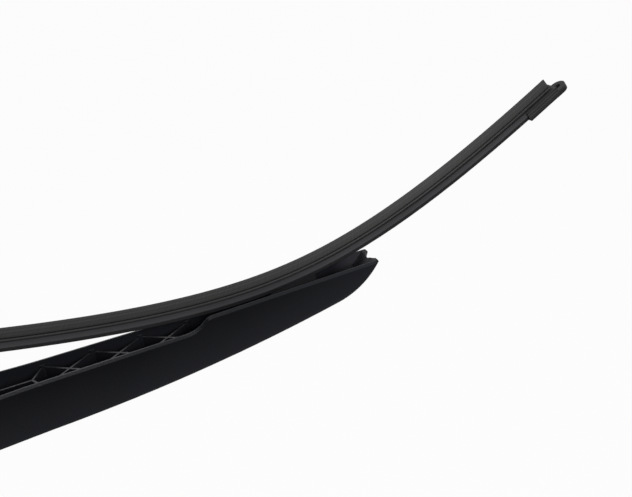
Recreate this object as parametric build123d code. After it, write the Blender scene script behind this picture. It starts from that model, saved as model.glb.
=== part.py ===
from build123d import *
from math import acos, asin, atan2, cos, degrees, hypot, pi, radians, sin
import os

# Rear wiper arm with its bowed flat blade, lying on its back with the glass side up.
# Frame: the origin is the centre of the spindle bore at the nut's seat, +X runs along
# the arm to its tip, +Z points to the glass and Y goes across. Millimetres.

# General clearances
MOVING_GAP = 0.4            # between pieces that swing past each other
SEAT_GAP = 0.1              # between pieces of one body that are pushed together
PIN_PLAY = 0.05             # radial play of a turning pin

# Arm beam: moulded channel, open to the glass
ARM_DEPTH = 24.7
ARM_WALL = 1.8
ARM_FLOOR = 2.4
ARM_BASE_WIDTH = 32.0
FLARE_START_X = 60.0        # the base's parallel sides end here
TAPER_START_X = 130.0       # the flare ends here and the straight taper begins
TAPER_START_WIDTH = 22.6
TIP_X = 289.5
TIP_WIDTH = 17.8
RIM_Z = 12.0                # the rim beside the spring and the truss
STEP_X = 191.0              # the rim steps up towards the blade here
STEP_RISE = 5.2
STEP_HOLLOW_RADIUS = 15.5
STEP_CROWN_RADIUS = 5.2
TIP_RISE = 6.5              # the tip above the lower rim
BACK_BOW_X = 106.0          # the straight back starts to bow here
BACK_BOW_RADIUS = 813.0
END_SWEEP_X = 265.5         # the back sweeps up to the tip from here
END_SWEEP_OVERRUN = 12.0    # degrees of sweep past the tip, trimmed off by the rim
END_NOTCH_DEPTH = 3.6       # the round notch between the two tips
END_NOTCH_RADIUS = 6.4
BACK_FILLET = 1.6
RIM_CHAMFER = 1.0

# Truss ribs in the channel: a spine that forks, then crossed diagonals
TRUSS_START_X = 127.6
TRUSS_PITCH = 22.4
TRUSS_BAYS = 3
RIB_THICKNESS = 1.0
RIB_BELOW_RIM = 3.2
SPINE_FORK = 5.0            # the spine forks this far before the first bay
BOSS_RADIUS = 1.3
BOSS_BELOW_RIM = 2.2

# Hinge between head and arm
HINGE_X = 44.0
EAR_RADIUS = 10.7
HINGE_PIN_RADIUS = 3.0
HINGE_PIN_HEAD_RADIUS = 4.6
HINGE_PIN_HEAD = 0.9
BUSH_WALL = 1.0
BUSH_FLANGE = 0.8
BUSH_FLANGE_RADIUS = 5.6
BUSH_END_PLAY = 0.2
KNUCKLE_RADIUS = 6.5
NECK_DROP = 3.7             # underside of the neck below the hinge axis
FORK_SLOT = 11.0

# Spring and its link
LINK_PIN_REACH = 8.0        # from the hinge axis to the link pin
LINK_PIN_ANGLE = 65.0       # degrees above the arm's line
LINK_PIN_RADIUS = 2.0
LINK_PIN_BOSS = 4.2
LINK_LENGTH = 16.0
LINK_THICKNESS = 3.0
LINK_EYE_PLAY = 0.55        # the eye is this much larger than the pin
LINK_EYE_LIFT = 0.37        # the eye's centre above the pin's at rest
LINK_EYE_WALL = 1.5
LINK_WAIST = 3.6
SPRING_PIN_X = 103.0
SPRING_PIN_RADIUS = 2.0
SPRING_WIRE = 1.8
SPRING_OUTSIDE = 9.8
SPRING_PITCH = 2.15
SPRING_LOOP_PLAY = 0.25
SPRING_LOOP_GAP = 0.12      # share of each end loop's turn that is left open
SPRING_WIRE_SIDES = 8       # flats round the coil's wire
SPRING_TURN_FLATS = 16      # straight lengths in one turn of the coil

# Mounting head
HEAD_WALL = 2.6
HEAD_SCOOP = 7.5            # the head's lower edge ends this far before the hinge axis
HEAD_DECK = 3.0             # top of the deck round the spindle
HEAD_UNDERSIDE = -1.2       # the nut cover closes against this face
HEAD_BOSS_RADIUS = 11.0
HEAD_BOSS_Z = 14.5
HEAD_RIB = 2.0
HEAD_RIB_BELOW_RIM = 2.5
NUT_WELL_RADIUS = 9.5

# Spindle bush
SPINDLE_BORE_RADIUS = 4.2   # clears an M8 stud
SPINDLE_BORE_LENGTH = 5.0
SPINDLE_TAPER_RADIUS = 6.0  # the splined taper at its wide end
SPINDLE_TAPER_SMALL = 5.4
SPINDLE_BUSH_RADIUS = 8.5
SPINDLE_BUSH_LENGTH = 15.0

# Nut cover
COVER_WALL = 1.8
COVER_SEAM = 0.3
COVER_HINGE_X = 24.5
COVER_KNUCKLE_RADIUS = 3.2
COVER_KNUCKLE_HALF = 9.0
COVER_STUB_RADIUS = 1.5
COVER_STUB_LENGTH = 3.0

# Blade pivot: a bar moulded across the channel
PIVOT_X = 251.0
PIVOT_Z = 12.5
PIVOT_RADIUS = 2.5
BLADE_TILT = 7.9            # degrees, the blade's right end up from the arm's line
LIP_ABOVE_PIVOT = 15.0

# Bow of the blade along the lip
RUBBER_LENGTH = 305.0
BOW_CENTRE_RADIUS = 198.0
BOW_END_RADIUS = 1060.0
BOW_POWER = 1.9
BOW_ARCS = 6                # arcs in each half

# Rubber element, heights below the lip's edge
LIP_EDGE = 0.6
LIP_ROOT = 2.4
LIP_HEIGHT = 4.6
HINGE_NECK = 0.9
WING_TOP = 5.05
WING_THICKNESS = 0.4
WING_WIDTH = 4.4
STEM_WIDTH = 2.4
HEAD_WIDTH = 5.8

# Carrier: a channel on a narrower foot that holds the rubber and its rails
CARRIER_WIDTH = 8.1
CARRIER_TOP = 4.9           # its sides rise beside the wing
CARRIER_SIDE = 3.1          # height of the sides above the foot
FOOT_WIDTH = 7.6
FOOT_HEIGHT = 1.6
CARRIER_WALL = 0.85
CLAW_THICKNESS = 0.8
WING_PLAY = 0.6             # beside the wing, between the carrier's sides
CARRIER_CORNER = 0.5

# Steel rails
RAIL_THICKNESS = 0.8
RAIL_WIDTH = 2.0
RAIL_COVER = 0.45           # rubber between a rail and the claws

# Hub under the carrier and the clip in it
HUB_WIDTH = 9.6
HUB_CHEEK = 1.3
HUB_BACK = 16.0             # from the pivot towards the head
HUB_FRONT = 7.0
HUB_BELOW_PIVOT = 3.4
HUB_CORNER = 2.0
CLIP_BACK = 9.0
CLIP_FRONT = 6.0
CLIP_WALL = 1.9
CLIP_MOUTH = 4.2

# End caps
CAP_GRIP = 18.0             # length over the carrier
CAP_WALL = 0.9
CAP_PLAY = 0.2              # a straight sleeve on a slightly bowed carrier
CAP_SOLE = 1.1
CAP_CORNER = 1.5
CAP_END_WALL = 1.4
EYE_REACH = 8.5             # beyond the rubber's end
EYE_WIDTH = 8.4
EYE_THICKNESS = 2.8         # flush with the cap's sole
EYE_HOLE_RADIUS = 1.8
EYE_HOLE_SLOT = 1.4         # the hole's two round ends are this far apart

# Worked out from the sizes above
BACK_Z = RIM_Z - ARM_DEPTH
HINGE_Z = BACK_Z + EAR_RADIUS
EAR_X = HINGE_X - EAR_RADIUS
TIP_Z = RIM_Z + TIP_RISE
BASE_HALF = ARM_BASE_WIDTH / 2
EAR_INSIDE = BASE_HALF - ARM_WALL
FORK_HALF = EAR_INSIDE - BUSH_FLANGE - BUSH_END_PLAY
LINK_PIN_X = HINGE_X + LINK_PIN_REACH * cos(radians(LINK_PIN_ANGLE))
LINK_PIN_Z = HINGE_Z + LINK_PIN_REACH * sin(radians(LINK_PIN_ANGLE))
SPRING_Z = LINK_PIN_Z + LINK_EYE_LIFT
COVER_HINGE_Z = BACK_Z + COVER_KNUCKLE_RADIUS
HALF_RUBBER = RUBBER_LENGTH / 2
CARRIER_BOTTOM = CARRIER_TOP + CARRIER_SIDE + FOOT_HEIGHT
CLAW_TOP = WING_TOP + WING_THICKNESS + 2 * SEAT_GAP
CLAW_BOTTOM = CLAW_TOP + CLAW_THICKNESS
HEAD_TOP = CLAW_BOTTOM + SEAT_GAP
HEAD_BOTTOM = CARRIER_BOTTOM - CARRIER_WALL - SEAT_GAP
RAIL_TOP = HEAD_TOP + RAIL_COVER
RAIL_BOTTOM = RAIL_TOP + RAIL_THICKNESS
RAIL_OUTSIDE = CARRIER_WIDTH / 2 - CARRIER_WALL - SEAT_GAP
RAIL_INSIDE = RAIL_OUTSIDE - RAIL_WIDTH
BLADE_FRAME = Pos(PIVOT_X, 0, PIVOT_Z) * Rot(0, -BLADE_TILT, 0) * Pos(0, 0, LIP_ABOVE_PIVOT)


def side_face(edges):
    """A face drawn as X right and Z up, set in the mid-plane."""
    return Plane.XZ * make_face(edges)


def across(face, half_width):
    """The face's solid, evenly to both sides of the mid-plane."""
    return extrude(face, amount=half_width, both=True)


def cross_rod(x, z, radius, y_from, y_to):
    """A round rod along Y."""
    rod = Cylinder(radius, y_to - y_from)
    return Pos(x, (y_from + y_to) / 2, z) * Rot(90, 0, 0) * rod


def block(x_from, x_to, y_half, z_from, z_to):
    """A box from one X and Z to another, even about the mid-plane."""
    size = Box(x_to - x_from, 2 * y_half, z_to - z_from)
    return Pos((x_from + x_to) / 2, 0, (z_from + z_to) / 2) * size


# Arm beam
def back_run(inset):
    """The arm's back from the hinge to past the tip, moved inwards by inset."""
    straight = Line((HINGE_X, BACK_Z + inset), (BACK_BOW_X, BACK_Z + inset))
    bow_angle = degrees(asin((END_SWEEP_X - BACK_BOW_X) / BACK_BOW_RADIUS))
    outer_bow = JernArc((BACK_BOW_X, BACK_Z), (1, 0), BACK_BOW_RADIUS, bow_angle)
    to_tip = Vector(TIP_X, TIP_Z) - outer_bow @ 1
    rise = degrees(atan2(to_tip.Y, to_tip.X)) - bow_angle
    sweep_radius = hypot(to_tip.X, to_tip.Y) / (2 * sin(radians(rise)))
    bow = JernArc(straight @ 1, (1, 0), BACK_BOW_RADIUS - inset, bow_angle)
    sweep_angle = 2 * rise + END_SWEEP_OVERRUN
    end_sweep = JernArc(bow @ 1, bow % 1, sweep_radius - inset, sweep_angle)
    return [straight, bow, end_sweep]


def channel_side(inset):
    """Side view of the channel, taller than its rim, with the back moved inwards."""
    run = back_run(inset)
    left = EAR_X - EAR_RADIUS
    top = run[-1] @ 1
    closing = Polyline(run[0] @ 0, (left, BACK_Z + inset), (left, top.Y), top)
    return side_face(run + [closing])


def channel_plan(inset):
    """Plan view of the channel: parallel base, flare and straight taper to the tip."""
    base = BASE_HALF - inset
    narrow = TAPER_START_WIDTH / 2 - inset
    tip = TIP_WIDTH / 2 - inset
    slope = (tip - narrow) / (TIP_X - TAPER_START_X)
    pull = (TAPER_START_X - FLARE_START_X) / 3
    left = EAR_X - EAR_RADIUS
    end_x = TIP_X + ARM_DEPTH
    end = narrow + slope * (end_x - TAPER_START_X)
    parallel = Line((left, base), (FLARE_START_X, base))
    flare = Bezier(
        (FLARE_START_X, base),
        (FLARE_START_X + pull, base),
        (TAPER_START_X - pull, narrow - slope * pull),
        (TAPER_START_X, narrow),
    )
    taper = Line((TAPER_START_X, narrow), (end_x, end))
    half = [parallel, flare, taper]
    other = [mirror(edge, Plane.XZ) for edge in half]
    ends = [Line((left, base), (left, -base)), Line((end_x, end), (end_x, -end))]
    return make_face(half + other + ends)


def channel_blank(side_inset, plan_inset):
    """A blank of the channel, taller than its rim."""
    plan = Pos(0, 0, BACK_Z - ARM_DEPTH) * channel_plan(plan_inset)
    return across(channel_side(side_inset), ARM_BASE_WIDTH) & extrude(plan, amount=4 * ARM_DEPTH)


def round_back(blank):
    """The blank with its two back edges rounded."""
    side_clear = TIP_WIDTH / 4
    long_edges = []
    for edge in blank.edges():
        middle = edge.position_at(0.5)
        runs_along = abs(edge.tangent_at(0.5).X) > 0.5
        below_rim = middle.Z < RIM_Z - ARM_FLOOR or middle.X > END_SWEEP_X
        if runs_along and abs(middle.Y) > side_clear and below_rim and middle.Z < TIP_Z:
            long_edges.append(edge)
    return fillet(long_edges, BACK_FILLET)


def above_rim():
    """All that lies above the rim, with its step up towards the blade."""
    step_angle = degrees(acos(1 - STEP_RISE / (STEP_HOLLOW_RADIUS + STEP_CROWN_RADIUS)))
    left = EAR_X - 2 * EAR_RADIUS
    right = TIP_X + ARM_DEPTH
    top = TIP_Z + 3 * ARM_DEPTH
    low_rim = Line((left, RIM_Z), (STEP_X, RIM_Z))
    hollow = JernArc((STEP_X, RIM_Z), (1, 0), STEP_HOLLOW_RADIUS, step_angle)
    crown = JernArc(hollow @ 1, hollow % 1, STEP_CROWN_RADIUS, -step_angle)
    high_rim = Polyline(crown @ 1, (TIP_X, TIP_Z), (right, TIP_Z))
    closing = Polyline((right, TIP_Z), (right, top), (left, top), (left, RIM_Z))
    return across(side_face([low_rim, hollow, crown, high_rim, closing]), ARM_BASE_WIDTH)


def behind_ears():
    """All that lies behind the rounded ears of the arm's base."""
    left = EAR_X - 2 * EAR_RADIUS
    low = BACK_Z - EAR_RADIUS
    top = TIP_Z + ARM_DEPTH
    ear = RadiusArc((EAR_X, HINGE_Z), (HINGE_X, BACK_Z), -EAR_RADIUS)
    outline = Polyline(
        (HINGE_X, BACK_Z),
        (HINGE_X, low),
        (left, low),
        (left, top),
        (EAR_X, top),
        (EAR_X, HINGE_Z),
    )
    return across(side_face([ear, outline]), ARM_BASE_WIDTH)


def rib(x_from, y_from, x_to, y_to):
    """An upright rib between two places in plan, from below the floor to the ribs' height."""
    bottom = BACK_Z - ARM_FLOOR
    height = RIM_Z - RIB_BELOW_RIM - bottom
    length = hypot(x_to - x_from, y_to - y_from) + RIB_THICKNESS
    turn = degrees(atan2(y_to - y_from, x_to - x_from))
    place = Pos((x_from + x_to) / 2, (y_from + y_to) / 2, bottom + height / 2)
    return place * Rot(0, 0, turn) * Box(length, RIB_THICKNESS, height)


def truss_bars():
    """Spine, fork, crossed diagonals and wall bosses, before they are trimmed to the channel."""
    bottom = BACK_Z - ARM_FLOOR
    boss_height = RIM_Z - BOSS_BELOW_RIM - bottom
    spine_from = SPRING_PIN_X + SPRING_OUTSIDE / 2 + MOVING_GAP
    fork_x = TRUSS_START_X - SPINE_FORK
    bars = [rib(spine_from, 0, fork_x, 0)]
    for side in (-1, 1):
        bars.append(rib(fork_x, 0, TRUSS_START_X, side * inner_half(TRUSS_START_X)))
    for node in range(TRUSS_BAYS + 1):
        x = TRUSS_START_X + node * TRUSS_PITCH
        for side in (-1, 1):
            y = side * inner_half(x)
            bars.append(Pos(x, y, bottom + boss_height / 2) * Cylinder(BOSS_RADIUS, boss_height))
    for bay in range(TRUSS_BAYS):
        x_from = TRUSS_START_X + bay * TRUSS_PITCH
        x_to = x_from + TRUSS_PITCH
        for side in (-1, 1):
            bars.append(rib(x_from, -side * inner_half(x_from), x_to, side * inner_half(x_to)))
    return bars


def inner_half(x):
    """Half the channel's inner width at x, on the straight taper or the flare."""
    slope = (TIP_WIDTH - TAPER_START_WIDTH) / 2 / (TIP_X - TAPER_START_X)
    straight = TAPER_START_WIDTH / 2 + slope * (x - TAPER_START_X)
    if x >= TAPER_START_X:
        return straight - ARM_WALL
    part = max(0.0, (x - FLARE_START_X) / (TAPER_START_X - FLARE_START_X))
    ease = 3 * part ** 2 - 2 * part ** 3
    return BASE_HALF + (TAPER_START_WIDTH / 2 - BASE_HALF) * ease - ARM_WALL


def rim_edges(outer):
    """The two outer edges of the rim, from the ears to the tips."""
    edges = []
    for edge in outer.edges():
        middle = edge.position_at(0.5)
        on_rim = middle.Z > RIM_Z - PIN_PLAY and middle.X > EAR_X + PIN_PLAY
        if on_rim and abs(edge.tangent_at(0.5).Y) < 0.5 and middle.X < TIP_X - END_NOTCH_DEPTH:
            edges.append(edge)
    return edges


def make_arm_beam():
    outer = round_back(channel_blank(0, 0)) - above_rim() - behind_ears()
    outer = chamfer(rim_edges(outer), RIM_CHAMFER)
    hollow = channel_blank(ARM_FLOOR, ARM_WALL) - truss_bars()
    beam = outer - hollow
    beam = beam - block(EAR_X - EAR_RADIUS, HINGE_X, EAR_INSIDE, BACK_Z - ARM_FLOOR, RIM_Z)
    notch = Cylinder(END_NOTCH_RADIUS, 2 * ARM_DEPTH)
    beam = beam - Pos(TIP_X - END_NOTCH_DEPTH + END_NOTCH_RADIUS, 0, TIP_Z) * notch
    bar_half = inner_half(PIVOT_X) + ARM_WALL / 2
    beam = beam + cross_rod(PIVOT_X, PIVOT_Z, PIVOT_RADIUS, -bar_half, bar_half)
    beam = beam - cross_rod(HINGE_X, HINGE_Z, HINGE_PIN_RADIUS, -ARM_BASE_WIDTH, ARM_BASE_WIDTH)
    return beam - cross_rod(SPRING_PIN_X, SPRING_Z, SPRING_PIN_RADIUS, -ARM_BASE_WIDTH, ARM_BASE_WIDTH)


# Mounting head
def head_envelope(inset, floor_inset):
    """Round-ended block of the head and its cover, moved inwards by the insets."""
    radius = BASE_HALF - inset
    right = HINGE_X - HEAD_SCOOP
    outline = make_face(
        [
            CenterArc((0, 0), radius, 90, 180),
            Polyline((0, -radius), (right, -radius), (right, radius), (0, radius)),
        ]
    )
    low = BACK_Z + floor_inset
    return extrude(Pos(0, 0, low) * outline, amount=RIM_Z - low)


def rounded_head():
    """The head's block with its lower edge rounded like the arm's back."""
    envelope = head_envelope(0, 0)
    lower_edges = []
    for edge in envelope.edges().group_by(Axis.Z)[0]:
        if edge.position_at(0.5).X < HINGE_X - HEAD_SCOOP - BACK_FILLET:
            lower_edges.append(edge)
    return fillet(lower_edges, BACK_FILLET)


def fork_side():
    """Side view of the neck, the hinge knuckle and the link pin's boss."""
    neck_x = HINGE_X - EAR_RADIUS - MOVING_GAP - HEAD_WALL
    neck_low = HINGE_Z - NECK_DROP
    neck_high = LINK_PIN_Z + LINK_PIN_BOSS
    boss_low = LINK_PIN_Z - LINK_PIN_BOSS
    knuckle = Pos(HINGE_X, HINGE_Z) * Circle(KNUCKLE_RADIUS)
    boss = Pos(LINK_PIN_X, LINK_PIN_Z) * Circle(LINK_PIN_BOSS)
    neck = rectangle(neck_x, HINGE_X, neck_low, neck_high)
    bridge = rectangle(HINGE_X, LINK_PIN_X, boss_low, neck_high)
    return Plane.XZ * (neck + knuckle + boss + bridge)


def rectangle(x_from, x_to, y_from, y_to):
    """A flat rectangle from one corner to the other."""
    return Pos((x_from + x_to) / 2, (y_from + y_to) / 2) * Rectangle(x_to - x_from, y_to - y_from)


def head_pocket():
    """The hollow round the spindle boss, with its radial ribs left standing."""
    shoulder = HINGE_X - EAR_RADIUS - MOVING_GAP
    depth = RIM_Z - HEAD_DECK
    radius = BASE_HALF - HEAD_WALL
    right = shoulder - HEAD_WALL
    outline = Circle(radius) + rectangle(0, right, -radius, radius) - Circle(HEAD_BOSS_RADIUS)
    pocket = extrude(Pos(0, 0, HEAD_DECK) * outline, amount=depth)
    rib_height = depth - HEAD_RIB_BELOW_RIM
    rib = Pos(right / 2, 0, HEAD_DECK + rib_height / 2) * Box(right, HEAD_RIB, rib_height)
    return pocket - [Rot(0, 0, turn * 45) * rib for turn in range(8)]


def make_arm_head():
    shoulder = HINGE_X - EAR_RADIUS - MOVING_GAP
    left = -ARM_BASE_WIDTH
    below = BACK_Z - ARM_DEPTH
    head = rounded_head()
    head = head - block(left, COVER_HINGE_X - COVER_KNUCKLE_RADIUS, ARM_BASE_WIDTH, below, HEAD_UNDERSIDE)
    head = head - head_pocket()
    boss = Cylinder(HEAD_BOSS_RADIUS, HEAD_BOSS_Z - HEAD_DECK)
    head = head + Pos(0, 0, (HEAD_DECK + HEAD_BOSS_Z) / 2) * boss
    head = head - block(shoulder, HINGE_X, ARM_BASE_WIDTH, HINGE_Z, RIM_Z)
    head = head - cross_rod(HINGE_X, HINGE_Z, EAR_RADIUS + MOVING_GAP, -ARM_BASE_WIDTH, ARM_BASE_WIDTH)
    head = head + across(fork_side(), FORK_HALF)
    head = head - block(shoulder, HINGE_X + ARM_BASE_WIDTH, FORK_SLOT / 2, below, RIM_Z)
    bush_radius = HINGE_PIN_RADIUS + PIN_PLAY + BUSH_WALL
    head = head - cross_rod(HINGE_X, HINGE_Z, bush_radius, -ARM_BASE_WIDTH, ARM_BASE_WIDTH)
    head = head - cross_rod(LINK_PIN_X, LINK_PIN_Z, LINK_PIN_RADIUS, -ARM_BASE_WIDTH, ARM_BASE_WIDTH)
    head = head - Pos(0, 0, HEAD_BOSS_Z / 2) * Cylinder(SPINDLE_BUSH_RADIUS, HEAD_BOSS_Z)
    head = head - Pos(0, 0, HEAD_UNDERSIDE / 2) * Cylinder(NUT_WELL_RADIUS, -HEAD_UNDERSIDE)
    knuckle = COVER_KNUCKLE_RADIUS
    post = block(COVER_HINGE_X - knuckle, COVER_HINGE_X, ARM_BASE_WIDTH, below, COVER_HINGE_Z)
    head = head - (post - cross_rod(COVER_HINGE_X, COVER_HINGE_Z, knuckle, -ARM_BASE_WIDTH, ARM_BASE_WIDTH))
    room = COVER_KNUCKLE_RADIUS + MOVING_GAP
    room_half = COVER_KNUCKLE_HALF + MOVING_GAP
    head = head - cross_rod(COVER_HINGE_X, COVER_HINGE_Z, room, -room_half, room_half)
    head = head - block(COVER_HINGE_X - room, COVER_HINGE_X + room, room_half, below, COVER_HINGE_Z)
    stub_end = COVER_KNUCKLE_HALF + COVER_STUB_LENGTH + MOVING_GAP
    return head - cross_rod(COVER_HINGE_X, COVER_HINGE_Z, COVER_STUB_RADIUS + PIN_PLAY, -stub_end, stub_end)


def make_spindle_bush():
    """Steel insert: a straight hole for the stud, then the taper that grips the spindle."""
    outside = Pos(0, 0, SPINDLE_BUSH_LENGTH / 2) * Cylinder(SPINDLE_BUSH_RADIUS, SPINDLE_BUSH_LENGTH)
    stud_hole = Pos(0, 0, SPINDLE_BORE_LENGTH / 2) * Cylinder(SPINDLE_BORE_RADIUS, SPINDLE_BORE_LENGTH)
    taper_length = SPINDLE_BUSH_LENGTH - SPINDLE_BORE_LENGTH
    taper = Cone(SPINDLE_TAPER_SMALL, SPINDLE_TAPER_RADIUS, taper_length)
    return outside - stud_hole - Pos(0, 0, SPINDLE_BORE_LENGTH + taper_length / 2) * taper


def make_nut_cover():
    """Snap cover over the spindle nut, with a knuckle and two stubs at its hinge."""
    end_x = COVER_HINGE_X - COVER_KNUCKLE_RADIUS - MOVING_GAP
    left = -ARM_BASE_WIDTH
    top = HEAD_UNDERSIDE - COVER_SEAM
    below = BACK_Z - ARM_DEPTH
    outer = rounded_head() & block(left, end_x, ARM_BASE_WIDTH, below, top)
    inner = head_envelope(COVER_WALL, COVER_WALL)
    inner = inner & block(left, end_x - COVER_WALL, ARM_BASE_WIDTH, below, RIM_Z)
    cover = outer - inner
    cover = cover + block(end_x - COVER_WALL, COVER_HINGE_X, COVER_KNUCKLE_HALF, BACK_Z, COVER_HINGE_Z)
    knuckle_half = COVER_KNUCKLE_HALF
    cover = cover + cross_rod(COVER_HINGE_X, COVER_HINGE_Z, COVER_KNUCKLE_RADIUS, -knuckle_half, knuckle_half)
    stub_end = COVER_KNUCKLE_HALF + COVER_STUB_LENGTH
    return cover + cross_rod(COVER_HINGE_X, COVER_HINGE_Z, COVER_STUB_RADIUS, -stub_end, stub_end)


# Hinge pieces
def make_hinge_pin():
    """Rivet pin with a low head outside each ear."""
    pin = cross_rod(HINGE_X, HINGE_Z, HINGE_PIN_RADIUS, -BASE_HALF, BASE_HALF)
    for side in (-1, 1):
        y_from = min(side * BASE_HALF, side * (BASE_HALF + HINGE_PIN_HEAD))
        head = cross_rod(HINGE_X, HINGE_Z, HINGE_PIN_HEAD_RADIUS, y_from, y_from + HINGE_PIN_HEAD)
        outer_rim = head.edges().sort_by(Axis.Y)[0 if side < 0 else -1]
        pin = pin + chamfer(outer_rim, HINGE_PIN_HEAD / 2)
    return pin


def make_hinge_bush(side):
    """Flanged bush pressed into one cheek of the fork, its flange against the arm's ear."""
    bore = HINGE_PIN_RADIUS + PIN_PLAY
    inside = side * FORK_SLOT / 2
    face = side * FORK_HALF
    flange_face = side * (FORK_HALF + BUSH_FLANGE)
    sleeve = cross_rod(HINGE_X, HINGE_Z, bore + BUSH_WALL, min(inside, face), max(inside, face))
    flange_from = min(face, flange_face)
    flange = cross_rod(HINGE_X, HINGE_Z, BUSH_FLANGE_RADIUS, flange_from, flange_from + BUSH_FLANGE)
    return sleeve + flange - cross_rod(HINGE_X, HINGE_Z, bore, -BASE_HALF, BASE_HALF)


# Spring pieces
def make_spring_link():
    """Flat steel link from the head's pin to the spring's loop."""
    far_x = LINK_PIN_X + LINK_LENGTH
    loop_hole = SPRING_WIRE / 2 + 2 * SPRING_LOOP_PLAY
    eye = Pos(LINK_PIN_X, SPRING_Z) * Circle(LINK_PIN_RADIUS + LINK_EYE_PLAY)
    eye_rim = Pos(LINK_PIN_X, SPRING_Z) * Circle(LINK_PIN_RADIUS + LINK_EYE_PLAY + LINK_EYE_WALL)
    loop_eye = Pos(far_x, SPRING_Z) * Circle(loop_hole)
    loop_rim = Pos(far_x, SPRING_Z) * Circle(loop_hole + LINK_EYE_WALL)
    waist = rectangle(LINK_PIN_X, far_x, SPRING_Z - LINK_WAIST / 2, SPRING_Z + LINK_WAIST / 2)
    outline = eye_rim + loop_rim + waist - eye - loop_eye
    return across(Plane.XZ * outline, LINK_THICKNESS / 2)


def make_spring_pin():
    """Pin across the channel that holds the spring's far loop, flush with the arm's sides."""
    half = inner_half(SPRING_PIN_X) + ARM_WALL
    return cross_rod(SPRING_PIN_X, SPRING_Z, SPRING_PIN_RADIUS, -half, half)


def arc_points(centre, out, side, radius, turn_from, turn_to):
    """Points on a round bend, turning from the out direction towards the side direction."""
    steps = max(1, round(abs(turn_to - turn_from) * SPRING_TURN_FLATS))
    points = []
    for step in range(steps + 1):
        angle = 2 * pi * (turn_from + (turn_to - turn_from) * step / steps)
        points.append(Vector(centre) + Vector(out) * radius * cos(angle) + Vector(side) * radius * sin(angle))
    return points


def make_tension_spring():
    """Close-wound extension spring: one wire bent into a loop, the coil and a loop square to the first."""
    wire = SPRING_WIRE / 2
    mean = (SPRING_OUTSIDE - SPRING_WIRE) / 2
    link_loop_x = LINK_PIN_X + LINK_LENGTH + mean
    pin_loop_x = SPRING_PIN_X + SPRING_PIN_RADIUS + SPRING_LOOP_PLAY - (mean - wire)
    coil_from = link_loop_x + mean + wire / 2
    coil_to = pin_loop_x - mean - wire / 2
    turns = round((coil_to - coil_from) / SPRING_PITCH)
    lead = (coil_to - coil_from) / turns
    along, across_arm, up = (1, 0, 0), (0, 1, 0), (0, 0, 1)
    link_loop = arc_points((link_loop_x, 0, SPRING_Z), along, across_arm, mean, SPRING_LOOP_GAP, 1)
    pin_loop = arc_points((pin_loop_x, 0, SPRING_Z), (-1, 0, 0), up, mean, 0, 1 - SPRING_LOOP_GAP)
    coil = []
    for flat in range(turns * SPRING_TURN_FLATS + 1):
        turn = flat / SPRING_TURN_FLATS
        angle = 2 * pi * turn
        coil.append(Vector(coil_from + lead * turn, mean * sin(angle), SPRING_Z - mean * cos(angle)))
    path = Polyline(link_loop + coil + pin_loop)
    section = Plane(origin=path @ 0, z_dir=path % 0) * RegularPolygon(wire, SPRING_WIRE_SIDES)
    return sweep(section, path=path, transition=Transition.RIGHT)


# Blade, drawn with the lip's centre as its origin
def bow_radii():
    """Radius of each arc of half the bow, from the middle outwards."""
    end = 1 / BOW_END_RADIUS
    extra = 1 / BOW_CENTRE_RADIUS - end
    radii = []
    for arc in range(BOW_ARCS):
        reach = (arc + 0.5) / BOW_ARCS
        radii.append(1 / (end + extra * (1 - reach) ** BOW_POWER))
    return radii


def bow_run(start, tangent, radii):
    """Tangent arcs of equal length, one for each radius."""
    length = HALF_RUBBER / BOW_ARCS
    run = []
    for radius in radii:
        arc = JernArc(start, tangent, radius, degrees(length / radius))
        run.append(arc)
        start = arc @ 1
        tangent = arc % 1
    return run


def bow_path():
    """The lip's line from the inner end to the outer end."""
    outer_half = bow_run((0, 0), (1, 0), bow_radii())
    tip = outer_half[-1] @ 1
    aim = outer_half[-1] % 1
    radii = bow_radii()
    return Plane.XZ * Wire(bow_run((-tip.X, tip.Y), (aim.X, -aim.Y), radii[::-1] + radii))


def along_blade(section):
    """A section drawn as Y across and height over the lip, swept along the bow."""
    path = bow_path()
    start = Plane(origin=path @ 0, x_dir=(0, 1, 0), z_dir=path % 0)
    return sweep(start * section, path=path)


def make_wiper_rubber():
    """Lip, thin hinge neck, wing, stem and a head with a side groove for each rail."""
    slack = SEAT_GAP / 2
    groove = RAIL_INSIDE - slack
    half = [
        (LIP_EDGE / 2, 0),
        (LIP_ROOT / 2, -LIP_HEIGHT),
        (HINGE_NECK / 2, -LIP_HEIGHT - slack),
        (HINGE_NECK / 2, -WING_TOP),
        (WING_WIDTH / 2, -WING_TOP - slack),
        (WING_WIDTH / 2, -WING_TOP - WING_THICKNESS),
        (STEM_WIDTH / 2, -WING_TOP - WING_THICKNESS),
        (STEM_WIDTH / 2, -HEAD_TOP),
        (HEAD_WIDTH / 2, -HEAD_TOP),
        (HEAD_WIDTH / 2, -RAIL_TOP + slack),
        (groove, -RAIL_TOP + slack),
        (groove, -RAIL_BOTTOM - slack),
        (HEAD_WIDTH / 2, -RAIL_BOTTOM - slack),
        (HEAD_WIDTH / 2, -HEAD_BOTTOM),
    ]
    other = [(-y, height) for y, height in reversed(half)]
    return BLADE_FRAME * along_blade(make_face(Polyline(half + other, close=True)))


def make_rail(side):
    """Flat spring steel strip in one side groove of the rubber."""
    inner = min(side * RAIL_INSIDE, side * RAIL_OUTSIDE)
    strip = rectangle(inner, inner + RAIL_WIDTH, -RAIL_BOTTOM, -RAIL_TOP)
    return BLADE_FRAME * along_blade(strip)


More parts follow.
